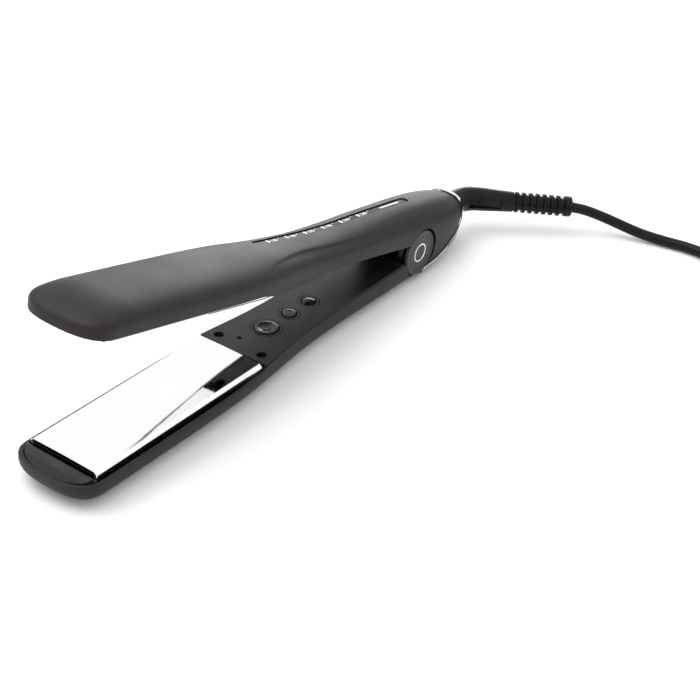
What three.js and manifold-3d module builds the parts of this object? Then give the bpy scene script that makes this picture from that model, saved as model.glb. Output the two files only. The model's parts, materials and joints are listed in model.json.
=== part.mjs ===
// A flat iron: two hinged arms with floating plates, buttons, a swivel boot and a mains lead.
// Millimetres, +Z up. The lower arm lies on the ground and the upper arm is drawn standing open.

import * as THREE from "three";
import { mergeVertices } from "three/addons/utils/BufferGeometryUtils.js";
import Module from "manifold-3d";

const wasm = await Module();
wasm.setup();

// ---------- driving dimensions ----------
// Inside the group, X runs from the tip end of the plates to the rear, Y from the middle plane,
// and Z from the face where the plates meet. The group then sets its lowest middle point at the origin.

const PLATE_LENGTH = 110;
const PLATE_WIDTH = 38.6;
const TIP_X = -12.4;
const TAIL_X = 300;
const NOSE_LENGTH = 14;
const LOWER_NOSE_DEPTH_LENGTH = 22;
const UPPER_NOSE_DEPTH_LENGTH = 26;
const TAIL_LENGTH = 42;
const REST_DEPTH = 16.4;
const WALL = 1.8;
const GAP = 0.35;

const HINGE_X = 247.4;
const HINGE_Z = 0;
const OPEN_ANGLE = THREE.MathUtils.degToRad(13.9);
const PIN_RADIUS = 2;
const CAP_RADIUS = 12.6;
const CAP_THICKNESS = 1.6;
const CAP_Y = 15;
const RECESS_RADIUS = CAP_RADIUS + 0.6;
const FLOAT_TRAVEL = 1;

const SWIVEL_Z = 2.6;
const HOUSING_END = 295.2;
const COLLAR_END = 298.6;
const COLLAR_RADIUS = 9;
const ELBOW_X = 311;
const BOOT_RADIUS = 6.6;
const BOOT_END_RADIUS = 4.6;
const BOOT_LENGTH = 61;
const BOOT_TURN = THREE.MathUtils.degToRad(-50.5);
const BOOT_DROP = THREE.MathUtils.degToRad(3);

const CORD_RADIUS = 2.9;

// ---------- materials ----------

function material(color, roughness, metalness) {
  return new THREE.MeshStandardMaterial({ color, roughness, metalness });
}

const SOFT_SHELL = material(0x3a3836, 0.62, 0);
const BLACK_PLASTIC = material(0x151515, 0.4, 0);
const TITANIUM = material(0xd4d6d8, 0.12, 1);
const CERAMIC = material(0xe8e2d4, 0.6, 0);
const STEEL = material(0xa9adb0, 0.3, 1);
const CHROME = material(0xe6e6e6, 0.08, 1);
const BRASS = material(0xc7a552, 0.3, 1);
const CIRCUIT = material(0x1d5a34, 0.6, 0);
const SILICONE = material(0xb04a34, 0.7, 0);
const WINDOW = material(0x0a0a0a, 0.12, 0);
const LAMP = material(0xf2f2ee, 0.3, 0);
const RUBBER = material(0x111111, 0.5, 0);
const WIRE = material(0x8f1f1f, 0.5, 0);

// ---------- closed bodies ----------

function solidOf(geometry) {
  const plain = geometry.index ? geometry.toNonIndexed() : geometry.clone();
  plain.deleteAttribute("normal");
  plain.deleteAttribute("uv");
  const merged = mergeVertices(plain, 1e-4);
  return new wasm.Manifold(
    new wasm.Mesh({
      numProp: 3,
      vertProperties: new Float32Array(merged.attributes.position.array),
      triVerts: new Uint32Array(merged.index.array),
    }),
  );
}

function geometryOf(solid) {
  const mesh = solid.getMesh();
  const geometry = new THREE.BufferGeometry();
  geometry.setAttribute("position", new THREE.BufferAttribute(mesh.vertProperties, 3));
  geometry.setIndex(new THREE.BufferAttribute(mesh.triVerts, 1));
  const faceted = geometry.toNonIndexed();
  faceted.computeVertexNormals();
  return faceted;
}

// Adds the geometries up into one solid.
function join(...geometries) {
  return geometries.map(solidOf).reduce((sum, next) => sum.add(next));
}

// Takes the geometries away from a solid.
function cut(solid, ...geometries) {
  return geometries.map(solidOf).reduce((rest, next) => rest.subtract(next), solid);
}

// A block between two corners.
function block(x0, x1, y0, y1, z0, z1) {
  const geometry = new THREE.BoxGeometry(x1 - x0, y1 - y0, z1 - z0);
  return geometry.translate((x0 + x1) / 2, (y0 + y1) / 2, (z0 + z1) / 2);
}

function rodX(radius, x0, x1, y, z, sides = 24) {
  const geometry = new THREE.CylinderGeometry(radius, radius, x1 - x0, sides);
  return geometry.rotateZ(-Math.PI / 2).translate((x0 + x1) / 2, y, z);
}

function rodY(radius, y0, y1, x, z, sides = 24) {
  const geometry = new THREE.CylinderGeometry(radius, radius, y1 - y0, sides);
  return geometry.translate(x, (y0 + y1) / 2, z);
}

function rodZ(radius, z0, z1, x, y, sides = 20) {
  const geometry = new THREE.CylinderGeometry(radius, radius, z1 - z0, sides);
  return geometry.rotateX(Math.PI / 2).translate(x, y, (z0 + z1) / 2);
}

// A bar with an outline in the XZ plane, reaching from y0 to y1.
function barY(points, y0, y1) {
  const shape = new THREE.Shape(points.map(([x, z]) => new THREE.Vector2(x, z)));
  const geometry = new THREE.ExtrudeGeometry(shape, { depth: y1 - y0, bevelEnabled: false });
  return geometry.rotateX(Math.PI / 2).translate(0, y1, 0);
}

// A round bar along a curve.
function barAlong(points, radius, steps, sides) {
  const section = new THREE.Shape();
  section.absarc(0, 0, radius, 0, 2 * Math.PI);
  return new THREE.ExtrudeGeometry(section, {
    curveSegments: sides / 2,
    steps,
    extrudePath: new THREE.CatmullRomCurve3(points, false, "centripetal"),
  });
}

// ---------- the outer form of the arms ----------

// A smooth line through [x, value] pairs.
function profile(pairs) {
  const slope = (i) => {
    const before = pairs[Math.max(i - 1, 0)];
    const after = pairs[Math.min(i + 1, pairs.length - 1)];
    return (after[1] - before[1]) / (after[0] - before[0]);
  };
  return (x) => {
    const last = pairs.length - 2;
    const found = pairs.findIndex((pair, i) => i <= last && x < pairs[i + 1][0]);
    const i = found < 0 ? last : found;
    const [x0, v0] = pairs[i];
    const [x1, v1] = pairs[i + 1];
    const span = x1 - x0;
    const t = THREE.MathUtils.clamp((x - x0) / span, 0, 1);
    const leaving = t * (1 - t) * (1 - t) * span * slope(i);
    const arriving = t * t * (t - 1) * span * slope(i + 1);
    return v0 + (v1 - v0) * t * t * (3 - 2 * t) + leaving + arriving;
  };
}

// Grows from 0 at the very end to 1 at `length` from it.
function rounding(reach, length, power) {
  const left = THREE.MathUtils.clamp(1 - reach / length, 0, 1);
  return Math.pow(1 - Math.pow(left, power), 1 / power);
}

const bodyHalfWidth = profile([
  [-16, 22.4],
  [75, 22.4],
  [98, 21.7],
  [118, 19.8],
  [137, 17.6],
  [156, 16.3],
  [178, 15.8],
  [205, 15.7],
  [230, 15.5],
  [262, 15.6],
  [300, 15.6],
]);
const lowerDepth = profile([
  [-16, 16.4],
  [120, 16.4],
  [150, 15.6],
  [175, 15.2],
  [200, 15.6],
  [225, 16.2],
  [248, 16.4],
  [266, 15.8],
  [285, 12],
  [301, 5],
]);
const upperHeight = profile([
  [-16, 15.6],
  [60, 15.8],
  [120, 16],
  [160, 16.6],
  [184, 18],
  [205, 20.2],
  [228, 22.4],
  [252, 24.2],
  [275, 24.4],
  [301, 22],
]);
// The rims of the arms stand back from the face where the plates meet.
const lowerRim = profile([
  [-16, -3.8],
  [106, -3.8],
  [116, -2.2],
  [301, -2.2],
]);
const upperRim = profile([
  [-16, 3.6],
  [100, 3.6],
  [113, 1.6],
  [142, 1.4],
  [158, 3.6],
  [180, 4.8],
  [230, 5.4],
  [301, 5.4],
]);
// The line, seen from the side, where the hood of the upper arm meets the tail of the lower arm.
const PARTING = [
  [252.4, -12.2],
  [262, -10.7],
  [273, -8.2],
  [284, -4],
  [291, 0.5],
  [298, 3],
];

function halfWidth(x, inset) {
  const nose = rounding(x - TIP_X - inset, NOSE_LENGTH, 2.6);
  const tail = rounding(TAIL_X - inset - x, TAIL_LENGTH, 2.3);
  return (bodyHalfWidth(x) - inset) * nose * tail;
}

const lowerNoseRise = (x, inset) => rounding(x - TIP_X - inset, LOWER_NOSE_DEPTH_LENGTH, 2.4);
const upperNoseRise = (x, inset) => rounding(x - TIP_X - inset, UPPER_NOSE_DEPTH_LENGTH, 1.9);

// Half of a superellipse over a base line; side is 1 for the upper arm and -1 for the lower.
// Two more points carry the walls straight on from the base to the skirt.
function section(x, width, height, base, skirt, squareness, side) {
  const steps = 16;
  const ring = [new THREE.Vector3(x, side * width * 0.97, skirt)];
  for (let k = 0; k <= steps; k++) {
    const turn = (Math.PI * k) / steps;
    const across = Math.sign(Math.cos(turn)) * Math.pow(Math.abs(Math.cos(turn)), 2 / squareness);
    const up = Math.pow(Math.sin(turn), 2 / squareness);
    ring.push(new THREE.Vector3(x, side * width * across, base + side * height * up));
  }
  ring.push(new THREE.Vector3(x, -side * width * 0.97, skirt));
  return ring;
}

// Joins sections of equal point counts, given from low X to high X, into one closed body.
function loft(rings) {
  const count = rings[0].length;
  const end = (rings.length - 1) * count;
  const index = [];
  for (let i = 0; i + 1 < rings.length; i++) {
    for (let j = 0; j < count; j++) {
      const a = i * count + j;
      const b = i * count + ((j + 1) % count);
      index.push(a, b, b + count, a, b + count, a + count);
    }
  }
  for (let j = 1; j + 1 < count; j++) {
    index.push(0, j + 1, j);
    index.push(end, end + j, end + j + 1);
  }
  const geometry = new THREE.BufferGeometry();
  const position = rings.flat().flatMap((point) => point.toArray());
  geometry.setAttribute("position", new THREE.Float32BufferAttribute(position, 3));
  geometry.setIndex(index);
  return geometry;
}

// Sections lie close together where the ends are round.
function stations(inset, rearEnd) {
  const nose = [0.012, 0.08, 0.24, 0.5, 1].map((share) => TIP_X + inset + share * NOSE_LENGTH);
  const middle = [];
  for (let x = 14; x < TAIL_X - TAIL_LENGTH - 4; x += 15) {
    middle.push(x);
  }
  const tail = [1, 0.75, 0.52, 0.32, 0.17, 0.07, 0.02].map(
    (share) => TAIL_X - inset - share * TAIL_LENGTH,
  );
  return [...nose, ...middle, ...tail.filter((x) => x < rearEnd), Math.min(rearEnd, tail.at(-1))];
}

const LOWER_SQUARENESS = 2.9;
const UPPER_SQUARENESS = 2.9;
const HOOD_END = 295;
const SKIRT_FROM = HINGE_X;
const SKIRT_Z = -13;

// The lower arm's form up to `lift` above its rim, smaller all round by `inset`.
function lowerForm(inset, lift) {
  return loft(
    stations(inset, 400).map((x) => {
      const base = -5;
      const depth = Math.max((lowerDepth(x) + base) * lowerNoseRise(x, inset) - inset, 0.3);
      const top = Math.max(lowerRim(x) + lift, base + 0.2);
      return section(x, Math.max(halfWidth(x, inset), 0.5), depth, base, top, LOWER_SQUARENESS, -1);
    }),
  );
}

// The upper arm's form, with its skirt reaching down past the hinge behind SKIRT_FROM.
function upperForm(inset, drop) {
  return loft(
    stations(inset, 400).map((x) => {
      const base = 7;
      const height = Math.max((upperHeight(x) - base) * upperNoseRise(x, inset) - inset, 0.3);
      const bottom = x > SKIRT_FROM ? SKIRT_Z - drop : Math.min(upperRim(x) - drop, base - 0.2);
      return section(x, Math.max(halfWidth(x, inset), 0.5), height, base, bottom, UPPER_SQUARENESS, 1);
    }),
  );
}

// ---------- the scene graph ----------

const group = new THREE.Group();
group.position.set(-(TIP_X + COLLAR_END) / 2, 0, REST_DEPTH);
const upperPivot = new THREE.Group();
upperPivot.position.set(HINGE_X, 0, HINGE_Z);
upperPivot.rotation.y = OPEN_ANGLE;
group.add(upperPivot);
const upperArm = new THREE.Group();
upperArm.position.set(-HINGE_X, 0, -HINGE_Z);
upperPivot.add(upperArm);

function add(name, shape, look, parent = group) {
  const mesh = new THREE.Mesh(shape.isBufferGeometry ? shape : geometryOf(shape), look);
  mesh.name = name;
  parent.add(mesh);
}

// Turns a geometry of the lower arm's frame into the upper arm's own closed frame.
function inUpperArm(geometry) {
  geometry.translate(-HINGE_X, 0, -HINGE_Z);
  geometry.rotateY(-OPEN_ANGLE);
  return geometry.translate(HINGE_X, 0, HINGE_Z);
}

// ---------- shells ----------

function partingRegion(offset, toZ) {
  const line = PARTING.map(([x, z]) => [x, z + offset]);
  const outline = [...line, [320, 3 + offset], [320, toZ], [PARTING[0][0], toZ]];
  return barY(toZ > 0 ? outline : outline.reverse(), -30, 30);
}

const FRAME_SPARE = 0.4;

function plateWindow(z0, z1) {
  const half = PLATE_WIDTH / 2 + FRAME_SPARE;
  return block(-FRAME_SPARE, PLATE_LENGTH + FRAME_SPARE, -half, half, z0, z1);
}

const SCREW_X = 117.4;
const SCREW_Y = 13;

function lowerShell() {
  const hollow = lowerForm(WALL, 8);
  const tub = cut(
    join(lowerForm(0, 0)),
    hollow,
    rodY(RECESS_RADIUS, -30, 30, HINGE_X, HINGE_Z, 48),
    partingRegion(-0.5, 40),
    plateWindow(-9, 9),
    rodX(COLLAR_RADIUS + 0.4, 288, 310, 0, SWIVEL_Z, 32),
  );
  const bosses = [-SCREW_Y, SCREW_Y].map((y) =>
    join(rodZ(2.6, -15.6, -6.4, SCREW_X, y)).intersect(solidOf(lowerForm(0.6, 0))),
  );
  const bores = [-SCREW_Y, SCREW_Y].map((y) => rodZ(1.4, -10.4, 0, SCREW_X, y));
  return cut(bosses.reduce((sum, boss) => sum.add(boss), tub), ...bores);
}

// The display runs along the roof of the upper arm, a little askew to the arm's own middle line.
const WINDOW_FROM = new THREE.Vector2(124.6, 6.1);
const WINDOW_TO = new THREE.Vector2(248.6, 1.6);
const WINDOW_HALF = 2.5;
const windowLine = WINDOW_TO.clone().sub(WINDOW_FROM);

// Sets a piece drawn along X from 0 into the display's line.
function alongWindow(geometry) {
  return geometry.rotateZ(windowLine.angle()).translate(WINDOW_FROM.x, WINDOW_FROM.y, 0);
}

// A slot with round ends, standing on edge through the roof of the upper arm.
function windowSlot(spare, z0) {
  const half = WINDOW_HALF - spare;
  const end = windowLine.length() - WINDOW_HALF;
  return join(
    alongWindow(block(WINDOW_HALF, end, -half, half, z0, 40)),
    alongWindow(rodZ(half, z0, 40, WINDOW_HALF, 0)),
    alongWindow(rodZ(half, z0, 40, end, 0)),
  );
}

function upperShell() {
  const hood = cut(
    join(upperForm(0, 0)),
    upperForm(WALL, 6),
    rodY(RECESS_RADIUS, -30, 30, HINGE_X, HINGE_Z, 48),
    inUpperArm(partingRegion(0, -40)),
    block(200, HINGE_X + 4.6, -30, 30, -40, -6),
    plateWindow(-9, 9),
    inUpperArm(block(HOOD_END, 320, -30, 30, -60, 60)),
    inUpperArm(block(280, 320, -7.3, 7.3, -60, SWIVEL_Z)),
    inUpperArm(rodX(7.3, 280, 320, 0, SWIVEL_Z, 28)),
  );
  return hood.subtract(windowSlot(0, 10));
}

add("lower_shell", lowerShell(), SOFT_SHELL);
add("upper_shell", upperShell(), SOFT_SHELL, upperArm);

// ---------- plates, their frames and what heats them ----------

// A bar with an outline in the YZ plane, reaching from x0 to x1.
function barX(points, x0, x1) {
  const shape = new THREE.Shape(points.map(([y, z]) => new THREE.Vector2(y, z)));
  const geometry = new THREE.ExtrudeGeometry(shape, { depth: x1 - x0, bevelEnabled: false });
  return geometry.rotateX(Math.PI / 2).rotateZ(Math.PI / 2).translate(x0, 0, 0);
}

// Turns a lower piece over into the upper arm, `lift` above the face where the plates meet.
function turnedOver(geometry, lift) {
  return geometry.rotateX(Math.PI).translate(0, 0, lift);
}

const PLATE_LIFT = 0.25;
const PLATE_EDGE = 1.5;
function plate() {
  const half = PLATE_WIDTH / 2;
  const flange = half - 1.4;
  return barX(
    [
      [-half, -5.4],
      [-flange, -5.4],
      [-flange, -1.8],
      [flange, -1.8],
      [flange, -5.4],
      [half, -5.4],
      [half, -PLATE_EDGE],
      [half - PLATE_EDGE, 0],
      [PLATE_EDGE - half, 0],
      [-half, -PLATE_EDGE],
    ],
    0,
    PLATE_LENGTH,
  );
}

// A lid that closes the nose of an arm in front of its plate.
function noseCover(form, z0, z1) {
  return join(form).intersect(join(block(TIP_X, -FRAME_SPARE, -30, 30, z0, z1)));
}

const heater = () => block(12, 98, -10, 10, -3.6, -2.15);
const heaterClip = () => block(7, 103, -15, 15, -5.2, -3.95);
const sensor = () => rodX(1.2, 50, 60, 0, -6.9, 12);
const cushion = (x, foot) => block(x, x + 16, -5, 5, foot, -5.35 - FLOAT_TRAVEL);

add("lower_nose_cover", noseCover(lowerForm(WALL + GAP, 2.4), -7, -1.4), BLACK_PLASTIC);
add("lower_plate", plate(), TITANIUM);
add("lower_heater", heater(), CERAMIC);
add("lower_heater_clip", heaterClip(), STEEL);
add("lower_thermistor", sensor(), BRASS);
add("lower_cushion_front", cushion(14, -14.2), SILICONE);
add("lower_cushion_rear", cushion(80, -14.2), SILICONE);

add("upper_nose_cover", noseCover(upperForm(WALL + GAP, 2), 1.6, 7), BLACK_PLASTIC, upperArm);
add("upper_plate", turnedOver(plate(), PLATE_LIFT), TITANIUM, upperArm);
add("upper_heater", turnedOver(heater(), PLATE_LIFT), CERAMIC, upperArm);
add("upper_heater_clip", turnedOver(heaterClip(), PLATE_LIFT), STEEL, upperArm);
add("upper_thermal_fuse", turnedOver(sensor(), PLATE_LIFT), STEEL, upperArm);
add("upper_cushion_front", turnedOver(cushion(14, -13.2), PLATE_LIFT), SILICONE, upperArm);
add("upper_cushion_rear", turnedOver(cushion(80, -13.2), PLATE_LIFT), SILICONE, upperArm);

// ---------- inner covers, buttons and boards ----------

const COVER_FROM = PLATE_LENGTH + 1.8;
const COVER_TO = 233.5;
const LAMP_X = 121.7;
const LAMP_Y = 4;
const BOARD_TOP = -10.8;
const BUTTONS = [
  { name: "power", x: 137.3, radius: 5.9 },
  { name: "plus", x: 155.1, radius: 3.6 },
  { name: "minus", x: 170.7, radius: 3.6 },
];

function lowerInnerCover() {
  const lip = join(lowerForm(0.5, 1)).intersect(join(block(COVER_FROM, COVER_TO, -30, 30, -1.85, -1.2)));
  const plug = join(lowerForm(WALL + GAP, 1)).intersect(
    join(block(COVER_FROM, COVER_TO, -30, 30, -3.2, -1.2)),
  );
  const sockets = [-SCREW_Y, SCREW_Y].map((y) => solidOf(rodZ(3.3, -6, -1.5, SCREW_X, y)));
  const whole = sockets.reduce((sum, socket) => sum.add(socket), lip.add(plug));
  const wells = [-SCREW_Y, SCREW_Y].flatMap((y) => [
    rodZ(2.4, -4.6, 0, SCREW_X, y),
    rodZ(1.5, -10, 0, SCREW_X, y),
  ]);
  const holes = BUTTONS.map(({ x, radius }) => rodZ(radius + GAP, -10, 0, x, 0, 28));
  return cut(whole, ...wells, ...holes, rodZ(1.2, -10, 0, LAMP_X, LAMP_Y, 12));
}

add("lower_inner_cover", lowerInnerCover(), BLACK_PLASTIC);
for (const [name, y] of [["near", -SCREW_Y], ["far", SCREW_Y]]) {
  const screw = join(rodZ(2, -4.3, -3.2, SCREW_X, y), rodZ(1.05, -10, -4, SCREW_X, y, 12));
  add("cover_screw_" + name, cut(screw, block(SCREW_X - 1.2, SCREW_X + 1.2, y - 0.3, y + 0.3, -3.7, 0)), STEEL);
}
for (const { name, x, radius } of BUTTONS) {
  const button = join(
    rodZ(radius, -4.6, -0.7, x, 0, 28),
    rodZ(radius + 1, -4.6, -3.6, x, 0, 28),
    rodZ(1.2, -7.4, -4.4, x, 0, 12),
  );
  add(name + "_button", button, BLACK_PLASTIC);
  add(name + "_switch", join(block(x - 3, x + 3, -3, 3, BOARD_TOP + 0.3, -8.9), rodZ(1.1, -9, -8.3, x, 0, 12)), STEEL);
}
add("status_lamp", rodZ(0.85, BOARD_TOP + 0.3, -1.5, LAMP_X, LAMP_Y, 12), LAMP);
add("main_board", block(124, 204, -8.5, 8.5, BOARD_TOP - 1.4, BOARD_TOP), CIRCUIT);

// A slab that follows a line of the upper arm, between `low` and `high` above it.
function slabAlong(line, x0, x1, low, high) {
  const stops = Array.from({ length: 13 }, (_, i) => x0 + ((x1 - x0) * i) / 12);
  const under = stops.map((x) => [x, line(x) + low]);
  const over = stops.map((x) => [x, line(x) + high]).reverse();
  return [...under, ...over];
}

const upperCover = join(upperForm(WALL + GAP, 0.5)).intersect(
  join(barY(slabAlong(upperRim, COVER_FROM, COVER_TO, 0.3, 1.9), -30, 30)),
);
add("upper_inner_cover", upperCover, BLACK_PLASTIC, upperArm);

const lensForm = join(upperForm(0.7, 0)).subtract(solidOf(upperForm(2.2, 30)));
add("display_lens", lensForm.intersect(windowSlot(GAP, 10)), WINDOW, upperArm);

const BOARD_DROP = 6;
const windowHeight = (along) => upperHeight(WINDOW_FROM.x + along);
const boardOutline = slabAlong(windowHeight, 4, windowLine.length() - 6, -BOARD_DROP - 1.4, -BOARD_DROP);
add("display_board", alongWindow(barY(boardOutline, -5, 5)), CIRCUIT, upperArm);

const LAMP_COUNT = 6;
const FIRST_LAMP = 11;
const LAMP_PITCH = 14.3;
for (let i = 0; i < LAMP_COUNT; i++) {
  const at = FIRST_LAMP + i * LAMP_PITCH;
  const foot = windowHeight(at) - BOARD_DROP + 0.9;
  const lamp = alongWindow(block(at - 1.2, at + 1.2, -1.2, 1.2, foot, foot + 1.5));
  add("scale_lamp_" + (i + 1), lamp, LAMP, upperArm);
}

// ---------- hinge ----------

const LOWER_EAR = [6, 8.4];
const UPPER_EAR = [9.6, 11.4];
const SIDES = [["near", -1], ["far", 1]];

// An ear between two distances from the middle plane, on one side of it.
function ear(points, [from, to], side) {
  return barY(points, Math.min(side * from, side * to), Math.max(side * from, side * to));
}

const lowerEarOutline = [[237, -12.8], [258, -12.8], [252.8, 3.4], [250.4, 5.6], [244.4, 5.6], [242, 3.4]];
const upperEarOutline = [[237, 14.8], [242, -3.4], [244.4, -5.6], [250.4, -5.6], [252.8, -3.4], [258, 14.8]];
const lowerBracket = join(
  block(237, 258, -8.4, 8.4, -13.2, -11.8),
  ...SIDES.map(([, side]) => ear(lowerEarOutline, LOWER_EAR, side)),
);
const upperBracket = join(
  block(237, 258, -11.4, 11.4, 13.6, 15.2),
  ...SIDES.map(([, side]) => ear(upperEarOutline, UPPER_EAR, side)),
);
const pinBore = () => rodY(PIN_RADIUS + GAP, -20, 20, HINGE_X, HINGE_Z);
add("lower_hinge_bracket", cut(lowerBracket, pinBore()), STEEL);
add("upper_hinge_bracket", cut(upperBracket, pinBore()), STEEL, upperArm);
add("hinge_pin", rodY(PIN_RADIUS, 0.3 - CAP_Y + CAP_THICKNESS, CAP_Y - CAP_THICKNESS - 0.3, HINGE_X, HINGE_Z), STEEL);
for (const [name, side] of SIDES) {
  const ends = [side * (CAP_Y - CAP_THICKNESS), side * CAP_Y].sort((a, b) => a - b);
  add("hinge_cap_" + name, rodY(CAP_RADIUS, ...ends, HINGE_X, HINGE_Z, 40), BLACK_PLASTIC);
}

// A torsion spring wound round the pin, with one leg along each arm.
const SPRING_TURNS = 5;
const SPRING_RADIUS = 3.6;
const SPRING_HALF = 4.6;
const springPoints = [new THREE.Vector3(HINGE_X - 9, -SPRING_HALF, HINGE_Z - SPRING_RADIUS - 1.5)];
for (let k = 0; k <= SPRING_TURNS * 10 + 5; k++) {
  const turn = -Math.PI / 2 - (2 * Math.PI * k) / 10;
  const y = -SPRING_HALF + (2 * SPRING_HALF * k) / (SPRING_TURNS * 10 + 5);
  springPoints.push(
    new THREE.Vector3(HINGE_X + SPRING_RADIUS * Math.cos(turn), y, HINGE_Z + SPRING_RADIUS * Math.sin(turn)),
  );
}
springPoints.push(new THREE.Vector3(HINGE_X - 9, SPRING_HALF, HINGE_Z + SPRING_RADIUS + 0.5));
add("opening_spring", barAlong(springPoints, 0.55, 70, 6), STEEL);

// ---------- leads ----------

const lowerLead = [[66, -6, -8.6], [84, -8, -9], [104, -8, -9], [120, -8, -8.8]];
const upperLead = [[66, -6, 8.6], [100, -8, 9], [150, -7, 9.4], [200, -4, 10.5], [228, -2, 11]];
const vectors = (points) => points.map(([x, y, z]) => new THREE.Vector3(x, y, z));
add("lower_leads", barAlong(vectors(lowerLead), 0.9, 16, 8), WIRE);
add("upper_leads", barAlong(vectors(upperLead), 0.9, 24, 8), WIRE, upperArm);

// ---------- tail: bright trim, swivel and boot ----------

function trimBand() {
  const layer = join(upperForm(-0.8, 3)).subtract(solidOf(upperForm(-0.35, 9)));
  const strip = inUpperArm(
    barY([...PARTING, ...PARTING.map(([x, z]) => [x, z + 1.5]).reverse()], -30, 30),
  );
  const arch = join(inUpperArm(block(HOOD_END - 2.6, HOOD_END + 1, -30, 30, 0, 40)));
  const band = layer.intersect(solidOf(strip).add(arch));
  return cut(band, inUpperArm(partingRegion(0, -40)), inUpperArm(block(HOOD_END, 320, -30, 30, -60, 60)));
}
add("hood_trim", trimBand(), CHROME, upperArm);

const housing = join(
  rodX(6.8, 270, HOUSING_END, 0, SWIVEL_Z, 28),
  block(270, 281, -5, 5, -10.6, 0),
);
add("swivel_housing", cut(housing, rodX(3.4, 260, 300, 0, SWIVEL_Z)), BLACK_PLASTIC);
const collar = join(rodX(COLLAR_RADIUS, HOUSING_END + 0.3, COLLAR_END, 0, SWIVEL_Z, 40));
add("swivel_collar", cut(collar, rodX(3.6, 290, 300, 0, SWIVEL_Z)), CHROME);
add("swivel_stem", join(rodX(3, 260, COLLAR_END, 0, SWIVEL_Z), rodX(5, 268, 269.6, 0, SWIVEL_Z)), BRASS);
for (const [name, x] of [["front", 261], ["rear", 264.6]]) {
  add("slip_ring_" + name, cut(join(rodX(4.6, x, x + 2, 0, SWIVEL_Z)), rodX(3.3, 255, 270, 0, SWIVEL_Z)), BRASS);
}
add("brush_block", block(260, 267.6, -4.5, 4.5, -12.4, -2.4), BLACK_PLASTIC);

const RIB_COUNT = 7;
const RIB_FROM = 29;
const RIB_PITCH = 3.9;
const RIB_RADIUS = 5.7;
const legOutline = [[0, 0], [BOOT_RADIUS - 0.4, 0], [5.6, RIB_FROM - 1]];
for (let i = 0; i < RIB_COUNT; i++) {
  const start = RIB_FROM + i * RIB_PITCH;
  legOutline.push([RIB_RADIUS, start], [RIB_RADIUS, start + 2], [BOOT_END_RADIUS, start + 2.3]);
  legOutline.push([BOOT_END_RADIUS, start + 3.7]);
}
legOutline.push([RIB_RADIUS, BOOT_LENGTH - 4], [RIB_RADIUS, BOOT_LENGTH], [0, BOOT_LENGTH]);
const leg = new THREE.LatheGeometry(legOutline.map(([radius, at]) => new THREE.Vector2(radius, at)), 20);
leg.rotateZ(-Math.PI / 2).rotateY(BOOT_DROP).rotateZ(BOOT_TURN).translate(ELBOW_X, 0, SWIVEL_Z);
const elbow = new THREE.SphereGeometry(BOOT_RADIUS, 20, 12).translate(ELBOW_X, 0, SWIVEL_Z);
add("swivel_boot", join(rodX(BOOT_RADIUS, COLLAR_END + 0.3, ELBOW_X, 0, SWIVEL_Z, 20), elbow, leg), RUBBER);

// ---------- mains lead ----------

const GROUND = -REST_DEPTH;
const LEAD_Z = GROUND + CORD_RADIUS + 0.1;
const COIL = new THREE.Vector3(402, -174, GROUND + 1.4);
const COIL_INNER = 22.8;
const COIL_OUTER = 41.2;
const COIL_HEIGHT = 23.4;

const leadRoute = [
  [350.1, -47.4, -0.9],
  [355, -53.6, -2.4],
  [361, -62.4, -5.8],
  [366, -72.4, -9.4],
  [370, -83, -12.2],
  [373.5, -95, LEAD_Z],
  [376, -108, LEAD_Z],
  [376, -121, LEAD_Z],
  [372, -134, LEAD_Z],
  [365.5, -145, LEAD_Z],
  [360, -156, LEAD_Z],
  [357.3, -166, LEAD_Z],
  [356.9, -171, LEAD_Z],
];
add("cord_tube", barAlong(vectors(leadRoute), CORD_RADIUS, 34, 8), RUBBER);

const coilOutline = [
  [COIL_INNER, 3],
  [COIL_INNER + 3, 0],
  [COIL_OUTER - 3, 0],
  [COIL_OUTER, 3],
  [COIL_OUTER, COIL_HEIGHT - 3],
  [COIL_OUTER - 3, COIL_HEIGHT],
  [COIL_INNER + 3, COIL_HEIGHT],
  [COIL_INNER, COIL_HEIGHT - 3],
  [COIL_INNER, 3],
].map(([radius, height]) => new THREE.Vector2(radius, height));
add("cord_coil", new THREE.LatheGeometry(coilOutline, 40).rotateX(Math.PI / 2).translate(COIL.x, COIL.y, COIL.z), RUBBER);

// The tie goes round the bundle clear of where the lead comes in and goes out.
const TIE_TURN = THREE.MathUtils.degToRad(75);
const tieOut = block(COIL_INNER - 2.4, COIL_OUTER + 1.6, -5, 5, -1.3, COIL_HEIGHT + 1.5);
const tieIn = block(COIL_INNER - 1.2, COIL_OUTER + 0.4, -6, 6, -0.3, COIL_HEIGHT + 0.4);
add("cord_tie", geometryOf(cut(join(tieOut), tieIn)).rotateZ(TIE_TURN).translate(COIL.x, COIL.y, COIL.z), BLACK_PLASTIC);

const PLUG_X = COIL.x + COIL_OUTER + 6.8;
const PLUG_Y = COIL.y + 26;
const PLUG_Z = GROUND + 7.2;
const tailRoute = [[PLUG_X - 3, COIL.y - 6, LEAD_Z], [PLUG_X - 0.6, COIL.y + 6, LEAD_Z + 1], [PLUG_X, PLUG_Y - 0.8, PLUG_Z]];
add("cord_tail", barAlong(vectors(tailRoute), CORD_RADIUS, 10, 8), RUBBER);

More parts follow.
